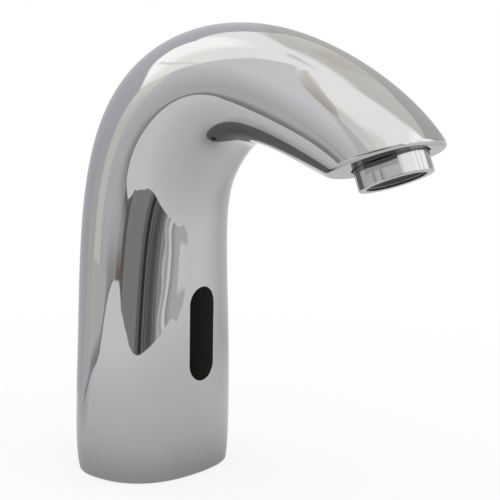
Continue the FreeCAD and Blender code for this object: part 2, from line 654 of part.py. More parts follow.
# ---------------------------------------------------------------- aerator
ring_blank = turned("ring_blank", "ring_lip,-ring_drop ring_rad-0.4,-ring_drop ring_rad,0.4-ring_drop ring_rad,2.3 "
                    "ring_male,2.3 ring_male,ring_up ring_bore,ring_up ring_bore,lip_thick-ring_drop "
                    "ring_lip,lip_thick-ring_drop", outlet(), **LEAN)
flats = []
for n in range(2):
    flat = block(f"ring_flat_{n}", ("6", "30", "flat_ledge+2.4"), ("0", "0", "0"))
    turn = Rotation(Vector(*X_AXIS), -size("outlet_tilt")) * Rotation(Vector(0, 0, 1), size("flat_turn") + 180 * n)
    corner = turn.multVec(Vector(size("flat_half"), -15, -size("flat_ledge")))
    flat.Placement = Placement(Vector(*(size(t) for t in outlet())) + corner, turn)
    for letter in "xyz":
        flat.setExpression(f"Placement.Base.{letter}", None)
    flats.append(flat)
aerator_ring = cut("aerator_ring", ring_blank, *flats)
aerator_insert = turned("aerator_insert", "9.2,-6.15 ring_bore-slip,-6.15 ring_bore-slip,ring_up+slip 11.8,ring_up+slip "
                        "11.8,8.5 6,8.5 6,6.5 4,6.5 4,5.5 9.2,5.5", outlet(), **LEAN)
HOLE, GAP = 1.5, 2.0
screen_holes = []
for i, j in itertools.product(range(-4, 5), repeat=2):
    if math.hypot(abs(i) * GAP + HOLE / 2, abs(j) * GAP + HOLE / 2) < 8.7:
        y = j * GAP - HOLE / 2
        screen_holes.append(block(
            f"screen_hole_{len(screen_holes)}", (str(HOLE), str(HOLE), "1"),
            (str(i * GAP - HOLE / 2),) + outlet("-5.9", str(y))[1:], **LEAN))
aerator_screen = cut("aerator_screen", rod("screen_disc", "9.15", "0.4", outlet("-5.6"), **LEAN), *screen_holes)
flow_regulator = turned("flow_regulator", "1.5,6.55 5.9,6.55 5.9,8.3 1.5,8.3", outlet(), **LEAN)
aerator_washer = turned("aerator_washer", "9,8.55 11.8,8.55 11.8,thread_deep-slip 9,thread_deep-slip", outlet(), **LEAN)

# ---------------------------------------------------------------- checks and files
NODES = (
    body_casting, base_plate, base_seal, lock_screw, valve_screws, valve_body, inlet_o_ring, inlet_strainer,
    channel_plug, membrane, insert, valve_bonnet, bonnet_fixings, armature_tube, armature_ring, plunger,
    plunger_seal, plunger_spring, fixed_core, bobbin, winding, coil_yoke, coil_nut, water_tube, tube_olive,
    tube_nut, feed_spigot, feed_ring, sensor_window, sensor_gasket, sensor_case, case_screws, sensor_board,
    emitter, receiver, chip, capacitor, supply_socket, supply_lead, coil_lead, aerator_ring, aerator_insert,
    aerator_screen, flow_regulator, aerator_washer,
)
doc.recompute()
for obj in doc.Objects:
    if {"Invalid", "Error"} & set(obj.State):
        raise RuntimeError(f"{obj.Label}: {obj.State}")
for node in NODES:
    if node.Shape.isNull() or not node.Shape.isValid():
        raise RuntimeError(f"{node.Label}: bad shape")
    node.Shape.exportStep(f"parts/{node.Label}.step")
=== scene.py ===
import json
import math

import bpy
import numpy as np
from mathutils import Matrix, Vector


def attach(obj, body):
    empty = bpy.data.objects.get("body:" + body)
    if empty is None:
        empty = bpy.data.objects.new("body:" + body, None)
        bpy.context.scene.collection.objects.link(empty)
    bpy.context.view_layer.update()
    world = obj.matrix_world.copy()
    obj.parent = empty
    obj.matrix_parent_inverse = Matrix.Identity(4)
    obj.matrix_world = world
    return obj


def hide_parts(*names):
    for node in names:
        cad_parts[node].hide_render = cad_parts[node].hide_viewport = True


# Looks of the sensor tap.  +Z up, the spout points along -Y, X across.
# The tap's lengths are millimetres, scaled by MM; the studio's and the camera's are metres.
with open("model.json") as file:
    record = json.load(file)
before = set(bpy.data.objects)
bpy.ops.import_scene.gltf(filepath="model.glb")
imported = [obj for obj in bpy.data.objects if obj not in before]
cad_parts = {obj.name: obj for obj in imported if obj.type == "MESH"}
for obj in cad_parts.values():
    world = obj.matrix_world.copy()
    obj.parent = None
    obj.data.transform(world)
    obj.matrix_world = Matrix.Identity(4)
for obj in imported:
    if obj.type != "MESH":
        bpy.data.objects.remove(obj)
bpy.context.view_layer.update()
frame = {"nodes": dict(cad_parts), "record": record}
MM = 0.001

# ------------------------------------------------------------------ skin
SKIN_ROWS = np.array([          # back u, back z, front u, front z, half width; u runs along -Y
    (-23.5, 0, 23.5, 0, 29.5),
    (-25, 7, 24, 10, 32),
    (-23.5, 48, 24.5, 56.5, 30.5),
    (-26.5, 107.5, 24.5, 100, 26.5),
    (-9, 156, 32.5, 112.5, 24.5),
    (54.5, 174.5, 46, 130, 23.5),
    (109, 140.5, 77.5, 114.5, 23),
    (119, 125, 86, 112.5, 23)], float)
SQUARE = np.linspace(1.055, 1.035, 8)               # reach of each oval's diagonals, 1 for an ellipse
KNOTS = np.array([0, 0, 0, 0, .2, .4, .6, .8, 1, 1, 1, 1])


def skin_poles():
    """(rows, round, xyz) control points, so that each row's closed cubic has its widths and diagonals."""
    bu, bz, fu, fz, half = SKIN_ROWS.T
    diagonal = (6 * SQUARE - 2.12132) / 3.5
    straight = 1.5 - 0.353553 * diagonal
    poles = np.zeros((8, 8, 3))
    for j in range(8):
        a = math.pi / 4 * j
        r = diagonal if j % 2 else straight
        poles[:, j, 0] = half * r * math.sin(a)
        poles[:, j, 1] = -((bu + fu) / 2 + (fu - bu) / 2 * r * math.cos(a))
        poles[:, j, 2] = (bz + fz) / 2 + (fz - bz) / 2 * r * math.cos(a)
    return poles


POLES = skin_poles()


def along_weights(t, degree=3):
    """Clamped cubic weights of the 8 rows at each t."""
    t = np.clip(np.asarray(t, float), 0, 1 - 1e-12)
    w = ((KNOTS[None, :-1] <= t[:, None]) & (t[:, None] < KNOTS[None, 1:])).astype(float)
    for d in range(1, degree + 1):
        nxt = np.zeros((len(t), w.shape[1] - 1))
        for i in range(w.shape[1] - 1):
            a, b = KNOTS[i + d] - KNOTS[i], KNOTS[i + d + 1] - KNOTS[i + 1]
            if a > 0:
                nxt[:, i] += (t - KNOTS[i]) / a * w[:, i]
            if b > 0:
                nxt[:, i] += (KNOTS[i + d + 1] - t) / b * w[:, i + 1]
        w = nxt
    return w


def round_weights(v):
    """Periodic cubic weights of the 8 columns at each v, one unit per column."""
    v = np.mod(np.asarray(v, float), 8)
    i = np.floor(v).astype(int)
    f = v - i
    parts = ((1 - f) ** 3 / 6, (3 * f ** 3 - 6 * f ** 2 + 4) / 6,
             (-3 * f ** 3 + 3 * f ** 2 + 3 * f + 1) / 6, f ** 3 / 6)
    w = np.zeros((len(v), 8))
    for k, part in enumerate(parts):
        w[np.arange(len(v)), (i + k - 1) % 8] += part
    return w


def skin(t, v):
    """Points of the skin, in millimetres."""
    return np.einsum("ni,nj,ijk->nk", along_weights(t), round_weights(v), POLES)


def unit(rows):
    """The rows, each made one long."""
    return rows / np.linalg.norm(rows, axis=1)[:, None]


def skin_frame(t, v, h=1e-4):
    """Points, unit normals, and the two tangents."""
    t = np.asarray(t, float)
    lo, hi = np.clip(t - h, 0, 1 - 1e-9), np.clip(t + h, 0, 1 - 1e-9)
    dt = (skin(hi, v) - skin(lo, v)) / (hi - lo)[:, None]
    dv = (skin(t, np.asarray(v) + h) - skin(t, np.asarray(v) - h)) / (2 * h)
    return skin(t, v), unit(np.cross(dv, dt)), dt, dv


def front_params(x, z):
    """(t, v) of front points with given X and Z, by Newton steps."""
    x, z = np.asarray(x, float), np.asarray(z, float)
    t, v = np.full(len(x), 0.4), x / 24.0
    for _ in range(12):
        p, _, dt, dv = skin_frame(t, v)
        ex, ez = x - p[:, 0], z - p[:, 2]
        det = dt[:, 0] * dv[:, 2] - dt[:, 2] * dv[:, 0]
        t = np.clip(t + (ex * dv[:, 2] - ez * dv[:, 0]) / det, 0.01, 0.99)
        v = v + (dt[:, 0] * ez - dt[:, 2] * ex) / det
    return t, v


# ------------------------------------------------------------------ mesh helpers
def new_object(name, points, faces):
    """A mesh object in the scene; its points are metres."""
    me = bpy.data.meshes.new(name)
    me.from_pydata(points, [], faces)
    ob = bpy.data.objects.new(name, me)
    bpy.context.scene.collection.objects.link(ob)
    return ob


class Build:
    """Collects rings of points with normals and joins them into one mesh."""

    def __init__(self):
        self.points, self.normals, self.faces = [], [], []
        self.count, self.last = 0, None

    def add(self, points, normals):
        """Stores a ring and gives back its numbers; one normal may serve all its points."""
        points = np.asarray(points, float)
        self.points.append(points)
        self.normals.append(np.broadcast_to(np.asarray(normals, float), points.shape))
        self.count += len(points)
        return np.arange(self.count - len(points), self.count)

    def bridge(self, a, b):
        """Quads between two rings of equal length."""
        self.faces += zip(a, np.roll(a, -1), np.roll(b, -1), b)

    def start(self, points, normals):
        """Begins a strip of rings."""
        self.last = self.add(points, normals)

    def to(self, points, normals):
        """The strip's next ring."""
        ring = self.add(points, normals)
        self.bridge(self.last, ring)
        self.last = ring

    def band(self, one, two, normals):
        """A strip of two rings, hard at both edges."""
        self.start(one, normals)
        self.to(two, normals)

    def cap(self, points, centre, normal):
        """A lid over a ring, hard at its edge."""
        ring, tip = self.add(points, normal), self.add([centre], normal)[0]
        self.faces += [(a, b, tip) for a, b in zip(ring, np.roll(ring, -1))]

    def object(self, name):
        """One welded mesh; the normals given with the points shade it, corner by corner."""
        pts = np.concatenate(self.points)
        nor = np.concatenate(self.normals)
        nor = nor / np.maximum(np.linalg.norm(nor, axis=1), 1e-9)[:, None]
        _, first, weld = np.unique(np.round(pts, 4), axis=0, return_index=True, return_inverse=True)
        weld = weld.ravel()
        quads = np.array([f if len(f) == 4 else (*f, f[2]) for f in self.faces])
        q = pts[quads]
        area = np.cross(q[:, 2] - q[:, 0], q[:, 3] - q[:, 1])
        turned = np.sum(area * nor[quads].sum(1), 1) < 0
        quads[turned] = quads[turned][:, ::-1]
        faces, corners = [], []
        for f in quads.tolist():
            ring = [c for k, c in enumerate(f) if weld[c] != weld[f[k - 1]]]
            if len(ring) > 2 and len({weld[c] for c in ring}) == len(ring):
                faces.append([int(weld[c]) for c in ring])
                corners += ring
        used = sorted({v for f in faces for v in f})
        place = {v: k for k, v in enumerate(used)}
        ob = new_object(name, (pts[first][used] * MM).tolist(), [[place[v] for v in f] for f in faces])
        ob.data.polygons.foreach_set("use_smooth", [True] * len(faces))
        ob.data.normals_split_custom_set(nor[corners].tolist())
        ob.data.update()
        return ob


def conic(a, m, c, steps):
    """(points, share of the way) along corners rounded from a to c, with the sharp corner at m."""
    u, w = m - a, c - m
    lengths = np.linalg.norm(u, axis=-1) * np.linalg.norm(w, axis=-1)
    cosine = np.sum(u * w, -1) / np.maximum(lengths, 1e-9)
    weight = np.cos(np.arccos(np.clip(cosine, -1, 1)) / 2)[..., None]
    out = []
    for s in np.arange(1, steps + 1) / steps:
        num = a * (1 - s) ** 2 + m * weight * 2 * s * (1 - s) + c * s ** 2
        den = (1 - s) ** 2 + weight * 2 * s * (1 - s) + s ** 2
        out.append((num / den, s))
    return out


def blend(one, two, s):
    """A normal turned by the share s of a right angle from one to two."""
    return one * math.cos(s * math.pi / 2) + two * math.sin(s * math.pi / 2)


# ------------------------------------------------------------------ tap body
WALL, TIP_ROUND, BASE_BREAK = 2.8, 1.6, 0.5
WALL_SLACK = 0.02                                    # the shown inner wall stands this much further in
LID = np.array([0, 0, 6.4])                          # closes the inside over the base plate
OUT = np.array([0, -103.16, 119.0])                  # middle of the aerator on the outlet face
TILT = math.radians(20.746)
UP_AXIS = np.array([0, math.sin(TILT), math.cos(TILT)])
ACROSS = np.array([1.0, 0, 0])
ALONG = np.cross(UP_AXIS, ACROSS)
GROUND, DEEP = np.array([0, 0, -1.0]), np.array([0, 1.0, 0])     # down to the deck, and into the body

FACE_END = 13.3                                      # radius where the bore's eased edge begins
BORE = ((13.05, 0.25), (13.05, 2.5), (12.15, 2.5), (12.05, 2.6), (12.05, 10), (9, 10),
        (9, 13.5))                                   # radius and height, from the face inwards

WINDOW_Z, WIN_X, WIN_Z = 53.0, 6.5, 17.5             # window: middle, half width, half height
WIN_STRAIGHT = WIN_Z - WIN_X
SLOT_FLOOR, SLOT_EASE = -19.6, 0.18
GLASS_BACK, GLASS_EASE, GLASS_GAP = -19.7, 0.14, 0.05

PATCH_V, PATCH_Z = 0.46, 22                          # half width (in v) and half height of the window's patch
PATCH_COLS, OTHER_COLS = 40, 140
LOW_ROWS, PATCH_ROWS, HIGH_ROWS = 30, 72, 130


def pill(offsets, add=0.0):
    """Nearest points of the window's outline, grown by add, to (x, z) offsets, and the ways out there."""
    spine = np.stack([np.zeros(len(offsets)), np.clip(offsets[:, 1], -WIN_STRAIGHT, WIN_STRAIGHT)], 1)
    away = unit(offsets - spine)
    return spine + away * (WIN_X + add), away


def on_front(line):
    """(t, v) of the skin at (x, z) offsets from the window's middle."""
    return front_params(line[:, 0], line[:, 1] + WINDOW_Z)


def at_depth(points, y):
    """The points, moved straight back to the depth y."""
    return points * (1, 0, 1) + (0, y, 0)


def grid_lines():
    """The grid's rows (t) and columns (v); the first columns and the middle rows hold the window's patch."""
    low, high = front_params([0, 0], [WINDOW_Z - PATCH_Z, WINDOW_Z + PATCH_Z])[0]
    v = np.concatenate([np.linspace(-PATCH_V, PATCH_V, PATCH_COLS + 1)[:-1],
                        np.linspace(PATCH_V, 8 - PATCH_V, OTHER_COLS + 1)[:-1]])
    t = np.concatenate([np.linspace(0, low, LOW_ROWS + 1)[:-1], np.linspace(low, high, PATCH_ROWS + 1)[:-1],
                        np.linspace(high, 1, HIGH_ROWS + 1)])
    return t, v


def tip_edge(v):
    """The outlet's sharp edge, the ways in over its face, the rounding's length, and t where that begins."""
    edge, _, run, _ = skin_frame(np.ones(len(v)), v)
    ways = OUT - edge
    ways = unit(ways - np.outer(ways @ UP_AXIS, UP_AXIS))
    cosine = np.sum(unit(run) * ways, 1)
    length = TIP_ROUND * np.tan(np.arccos(np.clip(cosine, -1, 1)) / 2)
    return edge, ways, length[:, None], 1 - length / np.linalg.norm(run, axis=1)


def foot_edge(v):
    """The base's sharp edge, the ways in over the deck, and t where the broken edge begins."""
    edge, _, run, _ = skin_frame(np.zeros(len(v)), v)
    return edge, unit(-edge * (1, 1, 0)), BASE_BREAK / np.linalg.norm(run, axis=1)


def skin_grid(b, t, v, t_foot, t_tip):
    """Rings of the skin between the two edges, joined except in the window's patch."""
    rows = []
    for k, at in enumerate(t):
        along = t_foot + (t_tip - t_foot) * at if k in (0, len(t) - 1) else np.full(len(v), at)
        points, normals, _, _ = skin_frame(np.clip(along, t_foot, t_tip), v)
        rows.append(b.add(points, normals))
    for k, (one, two) in enumerate(zip(rows, rows[1:])):
        before = len(b.faces)
        b.bridge(one, two)
        if LOW_ROWS <= k < LOW_ROWS + PATCH_ROWS:
            del b.faces[before:before + PATCH_COLS]
    return rows


def window_slot(b, rows, t, v):
    """The patch's rings, from the grid in to the slot's outline, then the slot's wall and floor."""
    low, high, last = LOW_ROWS, LOW_ROWS + PATCH_ROWS, PATCH_COLS
    places = [(low, j) for j in range(last)] + [(k, last) for k in range(low, high)]
    places += [(high, j) for j in range(last, 0, -1)] + [(k, 0) for k in range(high, low, -1)]
    b.last = np.array([rows[k][j] for k, j in places])
    grid = np.array([(t[k], v[j]) for k, j in places])
    at = skin(*grid.T)
    offsets = np.stack([at[:, 0], at[:, 2] - WINDOW_Z], 1)
    goal = np.stack(on_front(pill(offsets, SLOT_EASE)[0]), 1)
    rings = 9
    for k in range(1, rings + 1):
        s = 1 - (1 - k / rings) ** 1.35              # closer together towards the slot
        lip, lip_normals, _, _ = skin_frame(*(grid * (1 - s) + goal * s).T)
        b.to(lip, lip_normals)
    outline, away = pill(offsets)
    corner = skin(*on_front(outline))
    inward = np.stack([-away[:, 0], np.zeros(len(away)), -away[:, 1]], 1)
    for points, s in conic(lip, corner, corner + DEEP * SLOT_EASE, 3):
        b.to(points, blend(lip_normals, inward, s))
    b.to(at_depth(corner, SLOT_FLOOR), inward)
    b.cap(at_depth(corner, SLOT_FLOOR), [0, SLOT_FLOOR, WINDOW_Z], -DEEP)


def outlet(b, v, last_row, edge, ways, length, t_tip):
    """Rounded rim, flat face, counterbore and thread bore."""
    b.last = last_row
    start, normals, _, _ = skin_frame(t_tip, v)
    for face, s in conic(start, edge, edge + ways * length, 6):
        b.to(face, normals * (1 - s) - UP_AXIS * s)
    angle = np.arctan2((face - OUT) @ ALONG, (face - OUT) @ ACROSS)
    spokes = np.outer(np.cos(angle), ACROSS) + np.outer(np.sin(angle), ALONG)

    def circle(rad, height):
        return OUT + spokes * rad + UP_AXIS * height
    for s in np.arange(1, 6) / 5:
        b.to(face * (1 - s) + circle(FACE_END, 0) * s, -UP_AXIS)
    for points, s in conic(circle(FACE_END, 0), circle(BORE[0][0], 0), circle(*BORE[0]), 3):
        b.to(points, blend(-UP_AXIS, -spokes, s))
    for one, two in zip(BORE, BORE[1:]):
        b.band(circle(*one), circle(*two), -UP_AXIS if one[1] == two[1] else -spokes)
    b.cap(circle(*BORE[-1]), OUT + UP_AXIS * BORE[-1][1], -UP_AXIS)


def underside(b, v, first_row, edge, ways, t_foot):
    """Broken edge, flat foot, and the inside up to its lid."""
    b.last = first_row
    start, normals, _, _ = skin_frame(t_foot, v)
    for points, s in conic(start, edge, edge + ways * BASE_BREAK, 3):
        b.to(points, normals * (1 - s) + GROUND * s)
    wall = edge + ways * (WALL + WALL_SLACK)
    b.to(wall, GROUND)
    b.band(wall, wall + LID, ways)
    b.cap(wall + LID, LID, GROUND)


def tap_body():
    """Chrome casting: skin, window slot, outlet and foot."""
    b = Build()
    t, v = grid_lines()
    tip, tip_ways, tip_length, t_tip = tip_edge(v)
    foot, foot_ways, t_foot = foot_edge(v)
    rows = skin_grid(b, t, v, t_foot, t_tip)
    window_slot(b, rows, t, v)
    outlet(b, v, rows[-1], tip, tip_ways, tip_length, t_tip)
    underside(b, v, rows[0], foot, foot_ways, t_foot)
    return b.object("tap_body")


def window_glass():
    """Gloss window: its face follows the skin inside the slot."""
    b = Build()
    count, half, end = 192, WIN_STRAIGHT, math.pi * WIN_X
    knots = np.cumsum([0, half, end, 2 * half, end, half])   # along the outline, from the right side up
    at = (np.arange(count) + 0.5) / count * knots[-1]
    turn = np.interp(at, knots, np.array([0, 0, 1, 1, 2, 2]) * math.pi)
    spine = np.stack([np.zeros(count), np.interp(at, knots, [0, half, half, -half, -half, 0])], 1)
    outline = spine + WIN_X * np.stack([np.cos(turn), np.sin(turn)], 1)
    line = pill(outline, -GLASS_GAP - GLASS_EASE)[0]
    rim, rim_normals, _, _ = skin_frame(*on_front(line))
    b.start(rim, rim_normals)
    rim_ids = b.last
    for s in np.arange(1, 13) / 12:
        points, normals, _, _ = skin_frame(*on_front(line * (1 - s) + spine * s))
        b.to(points, normals)
    edge, away = pill(outline, -GLASS_GAP)
    corner = skin(*on_front(edge))
    outward = np.stack([away[:, 0], np.zeros(count), away[:, 1]], 1)
    b.last = rim_ids
    for points, s in conic(rim, corner, corner + DEEP * GLASS_EASE, 3):
        b.to(points, blend(rim_normals, outward, s))
    b.to(at_depth(corner, GLASS_BACK), outward)
    b.cap(at_depth(corner, GLASS_BACK), [0, GLASS_BACK, WINDOW_Z], DEEP)
    return b.object("window_glass")


# ------------------------------------------------------------------ turned pieces
def lathe(b, profile, turns=128):
    """Surface turned about the outlet's axis from (radius, height) corners, hard at each."""
    a = np.linspace(0, 2 * math.pi, turns, endpoint=False)
    spokes = np.outer(np.cos(a), ACROSS) + np.outer(np.sin(a), ALONG)
    for (r0, z0), (r1, z1) in zip(profile, profile[1:]):
        normals = spokes * (z0 - z1) + UP_AXIS * (r1 - r0)
        b.band(OUT + spokes * r0 + UP_AXIS * z0, OUT + spokes * r1 + UP_AXIS * z1, normals)


def eased(profile, cut):
    """The closed profile with every corner cut by a small chamfer."""
    pts = [np.array(p, float) for p in profile]
    out = []
    for k, p in enumerate(pts):
        for q in (pts[k - 1], pts[(k + 1) % len(pts)]):
            length = np.linalg.norm(q - p)
            out.append(tuple(p + (q - p) / length * min(cut, length * 0.3)))
    return out + out[:1]


RING_TURN = math.radians(14)                         # the way the flats face, round the ring's axis
RING_RAD, RING_MOUTH, RING_LOW, RING_EASE = 12.5, 10.25, -7.0, 0.45
FLAT_REACH, LEDGE, SHOULDER = 11.1, -3.2, 2.3        # spanner flats stand between ledge and shoulder
FLAT_EASE = 0.15
THREAD_RAD, THREAD_DEEP, THREAD_FOOT, THREAD_TOP, RING_TOP = 11.98, 0.55, 11.0, 7.2, 7.4
RING_INSIDE = ((11.3, RING_TOP), (10.4, RING_TOP), (10.4, -6.2), (10.0, -6.2), (10.0, -6.8),
               (RING_MOUTH, RING_LOW))               # radius and height, from the top down


def aerator_ring():
    """Chrome ring with two spanner flats and a thread of 1 mm pitch over the shoulder."""
    b = Build()
    x_axis = ACROSS * math.cos(RING_TURN) + ALONG * math.sin(RING_TURN)
    y_axis = np.cross(UP_AXIS, x_axis)
    half = math.acos(FLAT_REACH / RING_RAD)
    ends = (-half, half, math.pi - half, math.pi + half, 2 * math.pi - half)
    counts = (17, 49, 17, 49)
    a = np.concatenate([np.linspace(lo, hi, n) for lo, hi, n in zip(ends, ends[1:], counts)])
    flat = np.repeat([True, False, True, False], counts)
    spokes = np.outer(np.cos(a), x_axis) + np.outer(np.sin(a), y_axis)
    side = np.where(flat[:, None], np.outer(np.sign(np.cos(a)), x_axis), spokes)
    r_side = np.where(flat, FLAT_REACH / np.abs(np.cos(a)), RING_RAD)

    def at(r, z):
        return OUT + spokes * np.broadcast_to(r, a.shape)[:, None] + UP_AXIS * z
    inner = RING_RAD - RING_EASE
    b.start(at(RING_MOUTH, RING_LOW), -UP_AXIS)
    b.to(at(inner, RING_LOW), -UP_AXIS)
    rounded = conic(at(inner, RING_LOW), at(RING_RAD, RING_LOW), at(RING_RAD, RING_LOW + RING_EASE), 5)
    for points, s in rounded:
        b.to(points, blend(-UP_AXIS, spokes, s))
    for z in (LEDGE - 0.1, LEDGE):
        b.to(at(RING_RAD, z), spokes)
    b.band(at(RING_RAD, LEDGE), at(r_side, LEDGE), UP_AXIS)
    b.band(at(r_side, LEDGE), at(r_side, SHOULDER - FLAT_EASE), side)
    b.band(at(r_side, SHOULDER - FLAT_EASE), at(r_side - FLAT_EASE, SHOULDER), side + UP_AXIS)
    b.band(at(r_side - FLAT_EASE, SHOULDER), at(np.minimum(THREAD_FOOT, r_side - 0.2), SHOULDER), UP_AXIS)

    b.start(at(THREAD_FOOT, SHOULDER), UP_AXIS)
    for z in np.linspace(SHOULDER, THREAD_TOP, 50):
        phase = np.mod(z - a / (2 * math.pi), 1.0)
        groove = np.clip(np.abs(phase - 0.5) * 2, 0.12, 0.9)
        fade = max(0.15, min(1, (z - SHOULDER) / 0.5, (THREAD_TOP - z) / 0.4 + 0.2))
        slope = np.where(phase < 0.5, -0.81, 0.81)
        b.to(at(THREAD_RAD - THREAD_DEEP * groove * fade, z), spokes + np.outer(slope, UP_AXIS))
    b.to(at(*RING_INSIDE[0]), UP_AXIS + spokes)
    ways = (UP_AXIS, -spokes, UP_AXIS, -spokes, -spokes * 0.6 - UP_AXIS * 0.8)
    for one, two, normals in zip(RING_INSIDE, RING_INSIDE[1:], ways):
        b.band(at(*one), at(*two), normals)
    return b.object("aerator_ring_turned")


def aerator_core():
    """Turned insert, seen inside the ring."""
    b = Build()
    lathe(b, eased([(9.2, -6.15), (10.35, -6.15), (10.35, 7.45), (11.8, 7.45), (11.8, 8.5), (6, 8.5),
                    (6, 6.5), (4, 6.5), (4, 5.5), (9.2, 5.5)], 0.12))
    return b.object("aerator_insert_turned")


def wire(b, points, rad, sides=6):
    """Round wire through the given points."""
    tangent = unit(np.gradient(points, axis=0))
    one = unit(np.cross(tangent, UP_AXIS))
    two = np.cross(tangent, one)
    a = np.linspace(0, 2 * math.pi, sides, endpoint=False)
    spokes = [np.outer(np.cos(a), p) + np.outer(np.sin(a), q) for p, q in zip(one, two)]
    b.start(points[0] + spokes[0] * rad, spokes[0])
    for point, around in zip(points[1:], spokes[1:]):
        b.to(point + around * rad, around)
    for k, way in ((0, -tangent[0]), (-1, tangent[-1])):
        b.cap(points[k] + spokes[k] * rad, points[k], way)


MESH_RAD, MESH_PITCH, MESH_WIRE, MESH_Z, MESH_WAVE, MESH_COUNT = 8.75, 1.15, 0.13, -5.4, 0.06, 7


def aerator_mesh():
    """Woven screen in a thin rim."""
    b = Build()
    for across, along, shift in ((ACROSS, ALONG, 0), (ALONG, ACROSS, 1)):
        for k in range(-MESH_COUNT, MESH_COUNT + 1):
            off = k * MESH_PITCH
            half = math.sqrt(MESH_RAD ** 2 - off ** 2)
            s = np.linspace(-half, half, max(6, int(half * 2 / MESH_PITCH * 4)))
            height = MESH_Z + np.cos(math.pi * (s / MESH_PITCH + k + shift)) * MESH_WAVE
            wire(b, OUT + along * off + np.outer(s, across) + np.outer(height, UP_AXIS), MESH_WIRE)
    lathe(b, eased([(8.5, -5.6), (9.15, -5.6), (9.15, -5.2), (8.5, -5.2)], 0.05), turns=96)
    return b.object("aerator_mesh")


# ------------------------------------------------------------------ materials
def add_node(nt, kind, inputs, **settings):
    """A new shader node; an input given as a socket is linked to it, any other is set."""
    node = nt.nodes.new(kind)
    for key, value in settings.items():
        setattr(node, key, value)
    for key, value in inputs.items():
        if isinstance(value, bpy.types.NodeSocket):
            nt.links.new(value, node.inputs[key])
        else:
            node.inputs[key].default_value = value
    return node


def noise(nt, scale, detail):
    """A value that drifts over the surface."""
    place = add_node(nt, "ShaderNodeTexCoord", {}).outputs["Object"]
    drift = add_node(nt, "ShaderNodeTexNoise", {"Vector": place, "Scale": scale, "Detail": detail})
    return drift.outputs["Fac"]


def ramp(nt, fac, stops):
    """Colours between two stops."""
    node = add_node(nt, "ShaderNodeValToRGB", {"Fac": fac})
    for element, (position, colour) in zip(node.color_ramp.elements, stops):
        element.position = position
        element.color = (*colour, 1)
    return node.outputs["Color"]


def tinted(colour, k):
    """The colour, k times as bright."""
    return tuple(k * c for c in colour)


def drifting(name, colour, rough, scale, spread, bumps, rough_noise, inputs):
    """A surface whose colour and roughness drift slightly over it."""
    m = bpy.data.materials.new(name)
    m.use_nodes = True
    nt = m.node_tree
    bsdf = nt.nodes["Principled BSDF"]
    for key, value in inputs.items():
        bsdf.inputs[key].default_value = value
    stops = ((0.3, tinted(colour, 1 - spread)), (0.7, tinted(colour, 1 + spread)))
    nt.links.new(ramp(nt, noise(nt, scale, 3), stops), bsdf.inputs["Base Color"])
    spots = {"Value": noise(nt, scale * rough_noise[0], rough_noise[1]), "From Min": 0.3, "From Max": 0.7,
             "To Min": rough[0], "To Max": rough[1]}
    nt.links.new(add_node(nt, "ShaderNodeMapRange", spots).outputs["Result"], bsdf.inputs["Roughness"])
    if bumps:
        grain, strength, distance = bumps
        relief = {"Strength": strength, "Distance": distance, "Height": noise(nt, grain, 3)}
        nt.links.new(add_node(nt, "ShaderNodeBump", relief).outputs["Normal"], bsdf.inputs["Normal"])
    return m


def metal(name, colour, rough, scale, spread, bumps=None):
    """Polished or satin metal."""
    return drifting(name, colour, rough, scale, spread, bumps, (2.3, 4), {"Metallic": 1.0})


def plastic(name, colour, rough=(0.4, 0.55), scale=300, spread=0.08, bumps=(2500, 0.3, 0.00004), gloss=0.5):
    """Plastic, rubber, glass or lacquer."""
    return drifting(name, colour, rough, scale, spread, bumps, (1.7, 3), {"Specular IOR Level": gloss})


CHROME = (0.50, 0.503, 0.515)
METALS = {      # colour, roughness from and to, scale and spread of the drift, grain: scale, strength, depth
    "chrome_skin": (CHROME, (0.015, 0.03), 30, 0.015),
    "chrome_ring": (CHROME, (0.03, 0.06), 60, 0.02),
    "steel": ((0.56, 0.56, 0.57), (0.22, 0.34), 200, 0.05, (1800, 0.15, 0.00003)),
    "plate_steel": ((0.52, 0.525, 0.53), (0.28, 0.40), 160, 0.05, (1500, 0.2, 0.00003)),
    "raw_brass": ((0.72, 0.55, 0.26), (0.20, 0.34), 150, 0.07, (1600, 0.2, 0.00003)),
    "copper_pipe": ((0.78, 0.40, 0.26), (0.18, 0.28), 120, 0.05, (1200, 0.1, 0.00001)),
    "copper_wire": ((0.55, 0.22, 0.09), (0.25, 0.35), 300, 0.08),
    # mesh_steel is painted shade: near black with an olive cast, it stands for the dark inside of the
    # aerator; the steel wire itself is much lighter
    "mesh_steel": ((0.09, 0.088, 0.074), (0.25, 0.4), 200, 0.06, (1500, 0.2, 0.00003)),
}
PLASTICS = {    # the same, and the gloss
    "dark_window": ((0.0035, 0.0034, 0.0028), (0.04, 0.08), 60, 0.15, None, 0.05),
    "black_rubber": ((0.022, 0.022, 0.022), (0.6, 0.75)),
    "black_plastic": ((0.030, 0.030, 0.032),),
    "white_plastic": ((0.78, 0.78, 0.75), (0.35, 0.5), 300, 0.03),
    "grey_plastic": ((0.16, 0.165, 0.17),),
    "board_green": ((0.02, 0.16, 0.07), (0.25, 0.4)),
    "lamp_clear": ((0.06, 0.05, 0.09), (0.05, 0.1), 200, 0.1, None),
}
MATS = {name: metal(name, *values) for name, values in METALS.items()}
MATS.update({name: plastic(name, *values) for name, values in PLASTICS.items()})
SLOTS = {s["node"]: s["material_slot"] for s in frame["record"]["subparts"]}


def dress(ob, slot_name):
    """Gives a piece the material of its slot."""
    ob.data.materials.clear()
    ob.data.materials.append(MATS[slot_name])


for node, ob in frame["nodes"].items():
    dress(ob, SLOTS[node])

body = tap_body()
dress(body, "chrome_skin")
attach(body, "tap")
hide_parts("body_casting")

